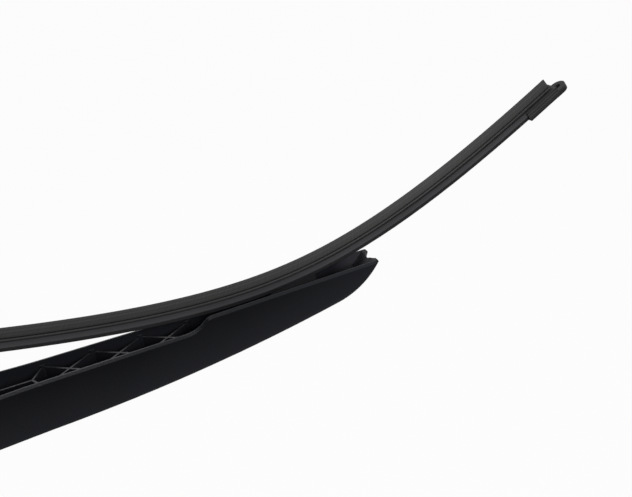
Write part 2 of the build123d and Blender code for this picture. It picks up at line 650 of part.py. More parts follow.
def carrier_section():
    """Channel on a foot, with claws over the rubber's head and a recess for its wing."""
    half = CARRIER_WIDTH / 2
    foot_half = FOOT_WIDTH / 2
    foot_top = FOOT_HEIGHT - CARRIER_BOTTOM
    cavity_half = half - CARRIER_WALL
    mouth_half = STEM_WIDTH / 2 + SEAT_GAP
    recess_half = WING_WIDTH / 2 + WING_PLAY
    foot = rectangle(-foot_half, foot_half, -CARRIER_BOTTOM, foot_top)
    foot = fillet(foot.vertices().group_by(Axis.Y)[0], CARRIER_CORNER)
    outside = foot + rectangle(-half, half, foot_top, -CARRIER_TOP)
    cavity = rectangle(-cavity_half, cavity_half, -CARRIER_BOTTOM + CARRIER_WALL, -CLAW_BOTTOM)
    mouth = rectangle(-mouth_half, mouth_half, -CLAW_BOTTOM, -CLAW_TOP)
    recess = rectangle(-recess_half, recess_half, -CLAW_TOP, -CARRIER_TOP)
    return outside - cavity - mouth - recess


def pivot_hub():
    """Two cheeks under the carrier, open below round the arm's pivot bar."""
    top = CARRIER_WALL / 2 - CARRIER_BOTTOM
    bottom = -LIP_ABOVE_PIVOT - HUB_BELOW_PIVOT
    room = PIVOT_RADIUS + MOVING_GAP
    cheek = rectangle(-HUB_BACK, HUB_FRONT, bottom, top)
    cheek = fillet(cheek.vertices().group_by(Axis.Y)[0], HUB_CORNER)
    cheek = cheek - Pos(0, -LIP_ABOVE_PIVOT) * Circle(room) - rectangle(-room, room, bottom, -LIP_ABOVE_PIVOT)
    inside = HUB_WIDTH / 2 - HUB_CHEEK
    hub = across(Plane.XZ * cheek, HUB_WIDTH / 2)
    return hub - block(HUB_CHEEK - HUB_BACK, HUB_FRONT, inside, bottom, top)


def make_blade_carrier():
    return BLADE_FRAME * (along_blade(carrier_section()) + pivot_hub())


def make_pivot_clip():
    """Snap bearing that grips the arm's pivot bar, between the hub's cheeks."""
    bore = PIVOT_RADIUS + PIN_PLAY
    top = -CARRIER_BOTTOM - SEAT_GAP
    bottom = -LIP_ABOVE_PIVOT - bore - CLIP_WALL
    centre = Pos(0, -LIP_ABOVE_PIVOT)
    plate = rectangle(-CLIP_BACK, CLIP_FRONT, -LIP_ABOVE_PIVOT + bore, top)
    outline = centre * Circle(bore + CLIP_WALL) + plate
    mouth = rectangle(-CLIP_MOUTH / 2, CLIP_MOUTH / 2, bottom, -LIP_ABOVE_PIVOT)
    outline = outline - centre * Circle(bore) - mouth
    return BLADE_FRAME * across(Plane.XZ * outline, HUB_WIDTH / 2 - HUB_CHEEK - SEAT_GAP)


def end_cap():
    """Sleeve over the carrier's end with a flat eye beyond it, on the outer end of the bow."""
    half_grip = CAP_GRIP / 2
    last_arc = bow_run((0, 0), (1, 0), bow_radii())[-1]
    at = 1 - half_grip * BOW_ARCS / HALF_RUBBER
    seat = last_arc.position_at(at)
    aim = last_arc.tangent_at(at)
    inside = CARRIER_WIDTH / 2 + CAP_PLAY
    outside = inside + CAP_WALL
    top = -CARRIER_TOP - SEAT_GAP
    floor = -CARRIER_BOTTOM - CAP_PLAY
    sole = floor - CAP_SOLE
    end_x = half_grip + CAP_PLAY
    cap = block(-half_grip, end_x + CAP_END_WALL, outside, sole, top)
    cap = fillet(cap.edges().group_by(Axis.Z)[0], CAP_CORNER)
    cap = cap - block(-CAP_GRIP, end_x, inside, floor, top)
    eye_end = half_grip + EYE_REACH
    eye_centre = eye_end - EYE_WIDTH / 2
    tab = rectangle(end_x, eye_centre, -EYE_WIDTH / 2, EYE_WIDTH / 2)
    tab = tab + Pos(eye_centre, 0) * Circle(EYE_WIDTH / 2)
    slot_back = eye_centre - EYE_HOLE_SLOT
    slot = rectangle(slot_back, eye_centre, -EYE_HOLE_RADIUS, EYE_HOLE_RADIUS)
    slot = slot + Pos(eye_centre, 0) * Circle(EYE_HOLE_RADIUS) + Pos(slot_back, 0) * Circle(EYE_HOLE_RADIUS)
    cap = cap + extrude(Pos(0, 0, sole) * (tab - slot), amount=EYE_THICKNESS)
    return Pos(seat.X, 0, seat.Y) * Rot(0, -degrees(atan2(aim.Y, aim.X)), 0) * cap


PARTS = {
    "arm_head": make_arm_head(),
    "spindle_bush": make_spindle_bush(),
    "nut_cover": make_nut_cover(),
    "hinge_bush_near": make_hinge_bush(-1),
    "hinge_bush_far": make_hinge_bush(1),
    "hinge_pin": make_hinge_pin(),
    "arm_beam": make_arm_beam(),
    "link_pin": cross_rod(LINK_PIN_X, LINK_PIN_Z, LINK_PIN_RADIUS, -FORK_HALF, FORK_HALF),
    "spring_pin": make_spring_pin(),
    "spring_link": make_spring_link(),
    "tension_spring": make_tension_spring(),
    "blade_carrier": make_blade_carrier(),
    "pivot_clip": make_pivot_clip(),
    "wiper_rubber": make_wiper_rubber(),
    "rail_near": make_rail(-1),
    "rail_far": make_rail(1),
    "end_cap_outer": BLADE_FRAME * end_cap(),
    "end_cap_inner": BLADE_FRAME * mirror(end_cap(), Plane.YZ),
}
os.makedirs("parts", exist_ok=True)
for name, part in PARTS.items():
    export_step(part, f"parts/{name}.step")
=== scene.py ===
import bmesh
import bpy
from math import cos, hypot, pi, radians, sin
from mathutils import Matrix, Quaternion, Vector


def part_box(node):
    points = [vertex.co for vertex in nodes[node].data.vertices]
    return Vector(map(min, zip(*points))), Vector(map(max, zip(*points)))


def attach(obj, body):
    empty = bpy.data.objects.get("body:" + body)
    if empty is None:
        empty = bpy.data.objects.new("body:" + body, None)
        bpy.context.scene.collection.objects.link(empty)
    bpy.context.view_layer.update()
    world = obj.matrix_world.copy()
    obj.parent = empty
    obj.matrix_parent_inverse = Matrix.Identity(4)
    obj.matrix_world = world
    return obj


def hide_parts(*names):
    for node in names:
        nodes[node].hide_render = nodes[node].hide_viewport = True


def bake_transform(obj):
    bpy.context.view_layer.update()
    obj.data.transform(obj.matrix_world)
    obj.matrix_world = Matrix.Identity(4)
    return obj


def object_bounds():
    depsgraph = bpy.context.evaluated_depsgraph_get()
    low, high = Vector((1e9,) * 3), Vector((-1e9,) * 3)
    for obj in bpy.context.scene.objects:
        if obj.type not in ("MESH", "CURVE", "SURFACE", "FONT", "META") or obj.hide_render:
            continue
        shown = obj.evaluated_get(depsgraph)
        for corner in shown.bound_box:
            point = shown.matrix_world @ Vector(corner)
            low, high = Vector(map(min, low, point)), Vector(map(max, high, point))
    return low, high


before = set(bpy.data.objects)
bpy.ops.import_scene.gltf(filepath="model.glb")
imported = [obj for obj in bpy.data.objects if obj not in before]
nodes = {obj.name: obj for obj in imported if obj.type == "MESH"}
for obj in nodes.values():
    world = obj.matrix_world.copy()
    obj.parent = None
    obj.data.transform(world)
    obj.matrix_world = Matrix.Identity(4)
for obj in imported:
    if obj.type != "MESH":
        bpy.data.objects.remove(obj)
cad_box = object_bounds()


# Arm beam: the long channel with truss ribs, hinged to the head by a rivet through its two ears.
# It is black glass-filled plastic, injection moulded in one shot with the blade's bar: satin, with a fine
# grain and faint flow marks. Rim and ribs carry a painted highlight, the outer walls carry painted shade
# under the rim and a painted reflection toward the back, and the inside of the tip is painted light.
class Value:
    """One shader socket, so that shader sums read as plain sums."""

    def __init__(self, paint, socket):
        self.paint = paint
        self.socket = socket

    def __add__(self, other):
        return self.paint.function("ADD", self, other)

    def __radd__(self, other):
        return self.paint.function("ADD", other, self)

    def __sub__(self, other):
        return self.paint.function("SUBTRACT", self, other)

    def __rsub__(self, other):
        return self.paint.function("SUBTRACT", other, self)

    def __mul__(self, other):
        return self.paint.function("MULTIPLY", self, other)

    def __rmul__(self, other):
        return self.paint.function("MULTIPLY", other, self)


class Paint:
    """One finish: a Principled shader with nodes behind its inputs."""

    COLOUR_A, COLOUR_B, COLOUR_OUT = 6, 7, 2    # a Mix node's sockets for colours

    def __init__(self, name):
        self.material = bpy.data.materials.new(name)
        self.material.use_nodes = True
        self.tree = self.material.node_tree
        self.shader = self.tree.nodes["Principled BSDF"]

    def node(self, kind, settings=None, inputs=None, output=0):
        made = self.tree.nodes.new("ShaderNode" + kind)
        for key, value in (settings or {}).items():
            setattr(made, key, value)
        for key, value in (inputs or {}).items():
            self.feed(made.inputs[key], value)
        return Value(self, made.outputs[output])

    def feed(self, socket, value):
        if isinstance(value, Value):
            self.tree.links.new(value.socket, socket)
        else:
            socket.default_value = value

    def set(self, **inputs):
        for key, value in inputs.items():
            self.feed(self.shader.inputs[key.replace("_", " ")], value)

    def function(self, operation, *values):
        return self.node("Math", {"operation": operation}, dict(enumerate(values)))

    def place(self):
        return self.node("TexCoord", output="Object")

    def part(self, vector, axis):
        return self.node("SeparateXYZ", None, {"Vector": vector}, axis)

    def stored(self, name):
        """A value that the mesh holds at each of its places."""
        return self.node("Attribute", {"attribute_name": name}, None, "Fac")

    def ramp(self, value, zero_at, one_at):
        """Rises from 0 to 1 between two values, of which either may be the larger."""
        return self.node("MapRange", None, {"Value": value, "From Min": zero_at, "From Max": one_at})

    def noise(self, scale, detail, stretch=(1, 1, 1)):
        """Noise over the piece, drawn out by a scale for each axis."""
        where = self.node("Mapping", None, {"Vector": self.place(), "Scale": stretch})
        return self.node("TexNoise", None, {"Vector": where, "Scale": scale, "Detail": detail})

    def lines(self, value, scale, detail):
        """Noise that changes with one value only."""
        inputs = {"W": value, "Scale": scale, "Detail": detail}
        return self.node("TexNoise", {"noise_dimensions": "1D"}, inputs)

    def between(self, factor, first, second):
        """A colour between two colours, which are plain values or made by nodes."""
        start, end = (colour if isinstance(colour, Value) else (*colour, 1) for colour in (first, second))
        inputs = {"Factor": factor, self.COLOUR_A: start, self.COLOUR_B: end}
        return self.node("Mix", {"data_type": "RGBA"}, inputs, self.COLOUR_OUT)

    def bump(self, height, strength, distance):
        inputs = {"Strength": strength, "Distance": distance, "Height": height}
        return self.node("Bump", None, inputs)


DRIFT_SCALE = 30.0          # slow change of tone
FLOW_SCALE = 160.0          # flow marks, drawn out along the piece
FLOW_STRETCH = (0.12, 1, 1)
GRAIN_SCALE = 2400.0        # the mould's spark-eroded grain


def moulded_plastic(name, dark, light, roughness, gloss):
    """Satin moulding: slow tone drift, flow marks along the piece and a fine grain."""
    paint = Paint(name)
    drift = paint.noise(DRIFT_SCALE, 3.0)
    flow = paint.noise(FLOW_SCALE, 2.0, FLOW_STRETCH)
    grain = paint.noise(GRAIN_SCALE, 2.0)
    paint.tone = paint.between(0.6 * drift + 0.4 * flow, dark, light)
    paint.set(
        Base_Color=paint.tone,
        Roughness=roughness + 0.12 * (flow - 0.5) + 0.14 * (grain - 0.5),
        Specular_IOR_Level=gloss,
        Normal=paint.bump(grain, strength=0.3, distance=0.0002),
    )
    return paint


def dress(paint, *names):
    for name in names:
        nodes[name].data.materials.clear()
        nodes[name].data.materials.append(paint.material)


ARM_DARK = (0.0087, 0.0092, 0.0114)
ARM_LIGHT = (0.0140, 0.0147, 0.0178)
arm = moulded_plastic("arm_plastic", ARM_DARK, ARM_LIGHT, roughness=0.3, gloss=0.03)
to_part = {"vector_type": "NORMAL", "convert_from": "WORLD", "convert_to": "OBJECT"}
facing = arm.node("VectorTransform", to_part, {"Vector": arm.node("NewGeometry", output="True Normal")})
spot = arm.place()
lengthwise = arm.part(spot, "X")
height = arm.part(spot, "Z")
sideward = arm.part(facing, "Y") * arm.function("SIGN", arm.part(spot, "Y"))

# Painted shade and reflection: the outer walls are painted dark under the rim and paler toward the back,
# with a painted highlight along the back's edge and a slow random drift of tone.
WALL_PAINTED_SHADE = (0.0050, 0.0053, 0.0065)
WALL_PAINTED_REFLECTION = (0.0215, 0.0223, 0.0260)
WALL_DEPTH = 0.022          # from the rim to the back
WALL_EDGE = 0.0022          # the painted highlight along the edge beside the back
BACK_LOW = -0.0127          # the back is level up to BACK_FROM and then sweeps up
BACK_FROM = 0.105
BACK_SWEEP = 0.63
FACING_FROM = 0.3           # a face counts as facing a way from here
FACING_TO = 0.6             # and in full from here
swept = arm.function("MAXIMUM", lengthwise - BACK_FROM, 0.0)
above_back = height - BACK_LOW - BACK_SWEEP * swept * swept
painted_reflection = arm.ramp(above_back, WALL_DEPTH, 0.0)
painted_edge_highlight = arm.ramp(above_back, WALL_EDGE, 0.0)
wall_light_and_drift = 0.6 * painted_reflection + 0.5 * painted_edge_highlight + 0.2 * (arm.noise(DRIFT_SCALE, 3.0) - 0.5)
outer_tone = arm.between(wall_light_and_drift, WALL_PAINTED_SHADE, WALL_PAINTED_REFLECTION)
outward = arm.ramp(sideward, FACING_FROM, FACING_TO)

# Painted light: the inner faces inside the tip are painted paler, as if lit there.
TIP_PAINTED_LIGHT = (0.0330, 0.0335, 0.0385)
TIP_LIT_FROM = 0.270           # the inside of the tip, beyond the bar
TIP_LIT_TO = 0.279
inner_face = arm.function("MINIMUM", sideward, arm.part(facing, "X"))
inward = arm.ramp(inner_face, -FACING_FROM, -FACING_TO)
tip_lit = arm.ramp(lengthwise, TIP_LIT_FROM, TIP_LIT_TO)
inner_tone = arm.between(inward * tip_lit, arm.tone, TIP_PAINTED_LIGHT)
wall_tone = arm.between(outward, inner_tone, outer_tone)

# Painted highlight: up-facing faces high on the arm, the rim and the rib tops, are painted paler.
RIM_AND_RIB_PAINTED_HIGHLIGHT = (0.0305, 0.0314, 0.0350)
HIGHLIGHT_FROM = 0.002         # the painted highlight is on up-facing faces above this height
HIGHLIGHT_TO = 0.006
UPWARD_FROM = 0.6
UPWARD_TO = 0.9
edge = arm.ramp(arm.part(facing, "Z"), UPWARD_FROM, UPWARD_TO)
high_on_arm = arm.ramp(height, HIGHLIGHT_FROM, HIGHLIGHT_TO)
arm.set(Base_Color=arm.between(edge * high_on_arm, wall_tone, RIM_AND_RIB_PAINTED_HIGHLIGHT))
dress(arm, "arm_beam")

# Mounting head and nut cover: the moulded block on the spindle, with a snap cover over the nut.
# Both are the arm's plastic from other tools; the cover is a little glossier from handling.
HEAD_DARK = (0.0096, 0.0101, 0.0122)
HEAD_LIGHT = (0.0154, 0.0160, 0.0189)
dress(moulded_plastic("head_plastic", HEAD_DARK, HEAD_LIGHT, roughness=0.52, gloss=0.08), "arm_head")
dress(moulded_plastic("cover_plastic", HEAD_DARK, HEAD_LIGHT, roughness=0.42, gloss=0.12), "nut_cover")

# Steel fittings: the spindle's bush, the hinge rivet, the two small pins, the spring's link and the
# two rails in the rubber. They are cut or stamped from plain steel and zinc plated, so the surface is
# pale, slightly cloudy and lightly scratched along its length.
CLOUD_SCALE = 220.0
SCRATCH_SCALE = 900.0
SCRATCH_STRETCH = (0.08, 1, 1)


def plated_metal(name, dark, light, roughness):
    """Bare metal: cloudy tone and fine scratches along the piece."""
    paint = Paint(name)
    cloud = paint.noise(CLOUD_SCALE, 4.0)
    scratch = paint.noise(SCRATCH_SCALE, 2.0, SCRATCH_STRETCH)
    paint.set(
        Base_Color=paint.between(0.5 * cloud + 0.5 * scratch, dark, light),
        Metallic=1.0,
        Roughness=roughness + 0.2 * (cloud - 0.5) + 0.12 * (scratch - 0.5),
        Normal=paint.bump(scratch, strength=0.08, distance=0.0001),
    )
    return paint


ZINC_DARK = (0.44, 0.45, 0.46)
ZINC_LIGHT = (0.62, 0.62, 0.62)
zinc = plated_metal("zinc_plate", ZINC_DARK, ZINC_LIGHT, roughness=0.36)
dress(zinc, "spindle_bush", "hinge_pin", "link_pin", "spring_pin", "spring_link", "rail_near", "rail_far")

# Hinge bushes: two flanged bushes pressed into the head's fork, which the rivet turns in.
# They are turned from brass bar and left plain, so they are a little dull and lightly scratched.
BRASS_DARK = (0.50, 0.36, 0.16)
BRASS_LIGHT = (0.66, 0.50, 0.26)
brass = plated_metal("turned_brass", BRASS_DARK, BRASS_LIGHT, roughness=0.3)
dress(brass, "hinge_bush_near", "hinge_bush_far")

# Tension spring: one hard-drawn wire wound into a close coil, with a loop for the link at one end and
# a loop for the arm's pin at the other. The wire is dark from drawing and oil.
SPRING_WIRE = 0.0018
SPRING_OUTSIDE = 0.0098
SPRING_PITCH = 0.00215
SPRING_LOOP_OPEN = 0.12     # share of each loop's turn that is left open
POINTS_A_TURN = 24
WIRE_SIDES = 14

spring_low, spring_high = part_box("tension_spring")
spring_mean = (SPRING_OUTSIDE - SPRING_WIRE) / 2
spring_z = sum(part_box("spring_pin"), Vector()).z / 2
link_loop_x = spring_low.x + SPRING_WIRE / 2 + spring_mean
pin_loop_x = spring_high.x - SPRING_WIRE / 2 - spring_mean


def bend(centre, out, side, turn_from, turn_to):
    """Points on a round bend of the spring's wire, from the out direction towards the side one."""
    steps = round(abs(turn_to - turn_from) * POINTS_A_TURN)
    points = []
    for step in range(steps + 1):
        angle = 2 * pi * (turn_from + (turn_to - turn_from) * step / steps)
        points.append(centre + spring_mean * (cos(angle) * Vector(out) + sin(angle) * Vector(side)))
    return points


def spring_route():
    """The wire's line: the link's loop, the coil and the pin's loop, square to the first."""
    coil_from = link_loop_x + spring_mean + SPRING_WIRE / 4
    coil_to = pin_loop_x - spring_mean - SPRING_WIRE / 4
    turns = round((coil_to - coil_from) / SPRING_PITCH)
    coil = []
    for step in range(turns * POINTS_A_TURN + 1):
        angle = 2 * pi * step / POINTS_A_TURN
        x = coil_from + (coil_to - coil_from) * step / (turns * POINTS_A_TURN)
        coil.append(Vector((x, spring_mean * sin(angle), spring_z - spring_mean * cos(angle))))
    link_loop = bend(Vector((link_loop_x, 0, spring_z)), (1, 0, 0), (0, 1, 0), SPRING_LOOP_OPEN, 1)
    pin_loop = bend(Vector((pin_loop_x, 0, spring_z)), (-1, 0, 0), (0, 0, 1), 0, 1 - SPRING_LOOP_OPEN)
    return link_loop + coil + pin_loop


def open_line(name, points):
    """A curve object that runs through the points."""
    data = bpy.data.curves.new(name, "CURVE")
    data.dimensions = "3D"
    spline = data.splines.new("POLY")
    spline.points.add(len(points) - 1)
    for place, point in zip(spline.points, points):
        place.co = (*point, 1)
    line = bpy.data.objects.new(name, data)
    bpy.context.scene.collection.objects.link(line)
    return line


class Tree:
    """A Geometry Nodes tree with named inputs, whose result becomes a plain mesh."""

    def __init__(self, name, inputs):
        self.group = bpy.data.node_groups.new(name, "GeometryNodeTree")
        self.group.interface.new_socket("Geometry", in_out="INPUT", socket_type="NodeSocketGeometry")
        for label, kind in inputs.items():
            self.group.interface.new_socket(label, in_out="INPUT", socket_type="NodeSocket" + kind)
        self.group.interface.new_socket("Geometry", in_out="OUTPUT", socket_type="NodeSocketGeometry")
        self.start = self.group.nodes.new("NodeGroupInput").outputs

    def node(self, kind, settings=None, inputs=None, output=0):
        made = self.group.nodes.new(kind)
        for key, value in (settings or {}).items():
            setattr(made, key, value)
        for key, value in (inputs or {}).items():
            if isinstance(value, bpy.types.NodeSocket):
                self.group.links.new(value, made.inputs[key])
            else:
                made.inputs[key].default_value = value
        return made.outputs[output]

    def end(self, geometry, finish):
        """Closes the tree: smooth faces, real geometry and the finish."""
        smooth = self.node("GeometryNodeSetShadeSmooth", None, {"Geometry": geometry})
        real = self.node("GeometryNodeRealizeInstances", None, {"Geometry": smooth})
        painted = self.node("GeometryNodeSetMaterial", None, {"Geometry": real, "Material": finish})
        last = self.group.nodes.new("NodeGroupOutput")
        self.group.links.new(painted, last.inputs["Geometry"])

    def make(self, base, values):
        """Runs the tree on a base object and puts a plain mesh object in its place."""
        modifier = base.modifiers.new(self.group.name, "NODES")
        modifier.node_group = self.group
        for item in self.group.interface.items_tree:
            if item.in_out == "INPUT" and item.name in values:
                modifier[item.identifier] = values[item.name]
        graph = bpy.context.evaluated_depsgraph_get()
        mesh = bpy.data.meshes.new_from_object(base.evaluated_get(graph), depsgraph=graph)
        base.modifiers.remove(modifier)
        name = base.name
        bpy.data.objects.remove(base)
        mesh.name = name
        piece = bpy.data.objects.new(name, mesh)
        bpy.context.scene.collection.objects.link(piece)
        return piece


wire_tree = Tree("round_wire", {"Wire radius": "Float", "Wire sides": "Int", "Finish": "Material"})
wire_start = wire_tree.start
wire_ring = wire_tree.node(
    "GeometryNodeCurvePrimitiveCircle",
    None,
    {"Resolution": wire_start["Wire sides"], "Radius": wire_start["Wire radius"]},
)
wire_skin = wire_tree.node(
    "GeometryNodeCurveToMesh",
    None,
    {"Curve": wire_start["Geometry"], "Profile Curve": wire_ring, "Fill Caps": True},
)
wire_tree.end(wire_skin, wire_start["Finish"])

WIRE_DARK = (0.17, 0.17, 0.18)
WIRE_LIGHT = (0.33, 0.33, 0.35)
drawn_wire = plated_metal("drawn_wire", WIRE_DARK, WIRE_LIGHT, roughness=0.34)
spring = wire_tree.make(
    open_line("round_spring", spring_route()),
    {"Wire radius": SPRING_WIRE / 2, "Wire sides": WIRE_SIDES, "Finish": drawn_wire.material},
)
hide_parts("tension_spring")
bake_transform(spring)

# Blade carrier and pivot clip: the long channel that holds the rubber, and the snap bearing in its hub.
# The carrier is extruded from two plastics, a black channel with a dark grey skin on its outer sides, and
# the black hub is welded under it. It follows the blade's free bow; the clip is moulded from the same black.
# The black on the foot below the grey skin and on the sides' tops above it is painted shade, and the skin is
# painted paler toward its bottom as light.
MM = 0.001
PIVOT = Vector((251.0, 0, 12.5)) * MM
BLADE_TILT = radians(7.9)
LIP_ABOVE_PIVOT = 15.0 * MM
RUBBER_LENGTH = 305.0 * MM
BOW_CENTRE_RADIUS = 198.0 * MM
BOW_END_RADIUS = 1060.0 * MM
BOW_POWER = 1.9
BOW_ARCS = 6                # arcs in each half of the bow
STEPS_AN_ARC = 24
SIDE_TOP = 4.9 * MM         # the grey skin starts this far below the lip's edge; the sides' tops above it are painted black as a shadow line
SIDE_BOTTOM = 7.6 * MM      # and ends here; the foot below it is painted black as shade
SIDE_HALF = 4.05 * MM       # half the channel's width, where the grey skin is
SEAM = 0.1 * MM
MERGE_DISTANCE = 0.01 * MM
SHARP_ANGLE = radians(30)


def half_bow(side):
    """Points from the middle of the lip outwards, before the blade is set on its pivot."""
    step = RUBBER_LENGTH / 2 / BOW_ARCS / STEPS_AN_ARC
    x, z, angle = 0.0, 0.0, 0.0
    points = []
    for arc in range(BOW_ARCS):
        reach = (arc + 0.5) / BOW_ARCS
        extra = 1 / BOW_CENTRE_RADIUS - 1 / BOW_END_RADIUS
        bend_rate = 1 / BOW_END_RADIUS + extra * (1 - reach) ** BOW_POWER
        for _ in range(STEPS_AN_ARC):
            middle = angle + bend_rate * step / 2
            x += step * cos(middle)
            z += step * sin(middle)
            angle += bend_rate * step
            points.append(Vector((side * x, 0, z)))
    return points


def lip_line():
    """The lip's edge from the inner end to the outer end, in the part's frame."""
    flat = half_bow(-1)[::-1] + [Vector()] + half_bow(1)
    turn = Quaternion((0, 1, 0), -BLADE_TILT)
    return [PIVOT + turn @ (point + Vector((0, 0, LIP_ABOVE_PIVOT))) for point in flat]


def toned_copy(name, source):
    """A merged copy of a CAD piece that knows how far each of its places lies below the lip's edge."""
    shape = bmesh.new()
    shape.from_mesh(nodes[source].data)
    bmesh.ops.remove_doubles(shape, verts=shape.verts, dist=MERGE_DISTANCE)
    mesh = bpy.data.meshes.new(name)
    shape.to_mesh(mesh)
    shape.free()
    mesh.attributes.remove(mesh.attributes["custom_normal"])
    mesh.shade_smooth()
    mesh.set_sharp_from_angle(angle=SHARP_ANGLE)
    line = lip_line()
    first, last = line[0], line[-1]
    first_step, last_step = first - line[1], last - line[-2]
    for step in range(1, STEPS_AN_ARC):
        line += [first + first_step * step, last + last_step * step]
    depths = mesh.attributes.new("below_lip", "FLOAT", "POINT")
    for vertex, depth in zip(mesh.vertices, depths.data):
        depth.value = min(hypot(vertex.co.x - point.x, vertex.co.z - point.z) for point in line)
    piece = bpy.data.objects.new(name, mesh)
    bpy.context.scene.collection.objects.link(piece)
    return piece


SIDE_DARK = (0.0232, 0.0230, 0.0245)
SIDE_LIGHT = (0.0544, 0.0538, 0.0570)
BLACK_AND_SHADE_DARK = (0.0080, 0.0080, 0.0090)
BLACK_AND_SHADE_LIGHT = (0.0136, 0.0136, 0.0147)
two_tone = moulded_plastic("carrier_plastic", SIDE_DARK, SIDE_LIGHT, roughness=0.5, gloss=0.10)
side_depth = two_tone.stored("below_lip")
half_across = two_tone.function("ABSOLUTE", two_tone.part(two_tone.place(), "Y"))
outside = two_tone.ramp(half_across, SIDE_HALF - 3 * SEAM, SIDE_HALF - SEAM)
under_top = two_tone.ramp(side_depth, SIDE_TOP + SEAM, SIDE_TOP + 2 * SEAM)
over_foot = two_tone.ramp(side_depth, SIDE_BOTTOM, SIDE_BOTTOM - SEAM)
# Painted shade: the foot and the sides' tops take this black, as do the channel's inner faces and the hub.
black_and_shade_tone = two_tone.between(two_tone.noise(FLOW_SCALE, 2.0, FLOW_STRETCH), BLACK_AND_SHADE_DARK, BLACK_AND_SHADE_LIGHT)
# Painted light: the grey skin grows paler toward its bottom, with a random drift of tone.
lower = two_tone.ramp(side_depth, SIDE_TOP, SIDE_BOTTOM)
side_tone = two_tone.between(0.6 * lower + 0.4 * two_tone.noise(DRIFT_SCALE, 3.0), SIDE_DARK, SIDE_LIGHT)
two_tone.set(Base_Color=two_tone.between(outside * under_top * over_foot, black_and_shade_tone, side_tone))
carrier = toned_copy("two_tone_carrier", "blade_carrier")
carrier.data.materials.append(two_tone.material)
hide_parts("blade_carrier")
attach(carrier, "blade")
dress(moulded_plastic("clip_plastic", BLACK_AND_SHADE_DARK, BLACK_AND_SHADE_LIGHT, roughness=0.45, gloss=0.10), "pivot_clip")

# End caps: the two caps pushed over the carrier's ends, each with a flat eye beyond it.
# They are moulded from the carrier's grey plastic, with fine ridges along them for the thumb; the ridges are
# painted lighter and the grooves darker as light and shade, and each has black painted shade along its lower
# edge.
CAP_DARK = (0.0096, 0.0096, 0.0101)
CAP_LIGHT = (0.0360, 0.0360, 0.0368)
CAP_FOOT = 9.0 * MM         # the black painted shade along the lower edge starts this far below the lip's edge
RIDGE_PITCH = 1.5 * MM
ridged = moulded_plastic("cap_plastic", CAP_DARK, CAP_LIGHT, roughness=0.5, gloss=0.10)
cap_depth = ridged.stored("below_lip")
# Painted light and shade: the cap's colour runs lighter and darker with the ridges, besides their bump.
ridge = ridged.function("SINE", (2 * pi / RIDGE_PITCH) * cap_depth)
ridge_shading_mix = 0.5 + 0.4 * ridge + 0.4 * (ridged.noise(FLOW_SCALE, 2.0) - 0.5)
ridge_shading_tone = ridged.between(ridge_shading_mix, CAP_DARK, CAP_LIGHT)
cap_foot_shade = ridged.ramp(cap_depth, CAP_FOOT, CAP_FOOT + 3 * SEAM)
ridged.set(
    Base_Color=ridged.between(cap_foot_shade, ridge_shading_tone, BLACK_AND_SHADE_DARK),
    Normal=ridged.bump(ridge, strength=0.3, distance=0.0001),
)
for end in ("outer", "inner"):
    cap = toned_copy("ridged_cap_" + end, "end_cap_" + end)
    cap.data.materials.append(ridged.material)
    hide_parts("end_cap_" + end)
    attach(cap, "blade")

# Wiper rubber: lip, thin neck, wing and the head that the carrier holds, extruded in one piece.
# It is natural rubber with a graphite coat on the lip: a soft neutral grey, with lines along it from the
# extruder's die and faint ones across it from cutting and wiping. The blade's outer part is painted paler as
# light, and the neck is painted black as shadow.
LIP_EDGE = 0.6              # the section's sizes are in millimetres
LIP_EDGE_BEVEL = 0.1
LIP_ROOT = 2.4
LIP_HEIGHT = 4.6
LIP_FLARE_HEIGHT = 0.35     # the last of the lip's taper above its root
LIP_FLARE = 0.08
LIP_ROOT_BEVEL = 0.1
LIP_ROOT_INSET = 0.15
NECK = 0.9
SHOULDER_SLOPE = 0.05
WING_TOP = 5.05
WING_THICKNESS = 0.4
WING_WIDTH = 4.4
WING_ROUND = 0.1
STEM_WIDTH = 2.4
HEAD_WIDTH = 5.8
HEAD_TOP = 6.55
HEAD_BOTTOM = 8.65
GROOVE_TOP = 6.95
GROOVE_BOTTOM = 7.85
GROOVE_HALF = 1.05


def rubber_section():
    """The rubber's outline as places across and above the lip, in millimetres."""
    half = [
        (LIP_EDGE / 2 - LIP_EDGE_BEVEL, 0),
        (LIP_EDGE / 2, -LIP_EDGE_BEVEL),
        (LIP_ROOT / 2 - LIP_FLARE, -LIP_HEIGHT + LIP_FLARE_HEIGHT),
        (LIP_ROOT / 2, -LIP_HEIGHT + LIP_ROOT_BEVEL),
        (LIP_ROOT / 2 - LIP_ROOT_INSET, -LIP_HEIGHT),
        (NECK / 2, -LIP_HEIGHT - SHOULDER_SLOPE),
        (NECK / 2, -WING_TOP),
        (WING_WIDTH / 2 - WING_ROUND, -WING_TOP - SHOULDER_SLOPE),
        (WING_WIDTH / 2, -WING_TOP - SHOULDER_SLOPE - WING_ROUND),
        (WING_WIDTH / 2, -WING_TOP - WING_THICKNESS + WING_ROUND),
        (WING_WIDTH / 2 - WING_ROUND, -WING_TOP - WING_THICKNESS),
        (STEM_WIDTH / 2, -WING_TOP - WING_THICKNESS),
        (STEM_WIDTH / 2, -HEAD_TOP),
        (HEAD_WIDTH / 2, -HEAD_TOP),
        (HEAD_WIDTH / 2, -GROOVE_TOP),
        (GROOVE_HALF, -GROOVE_TOP),
        (GROOVE_HALF, -GROOVE_BOTTOM),
        (HEAD_WIDTH / 2, -GROOVE_BOTTOM),
        (HEAD_WIDTH / 2, -HEAD_BOTTOM),
    ]
    other = [(-across, height) for across, height in reversed(half)]
    return [Vector((across, -height, 0)) * MM for across, height in half + other]


section_line = open_line("rubber_section", rubber_section())
section_line.data.splines[0].use_cyclic_u = True

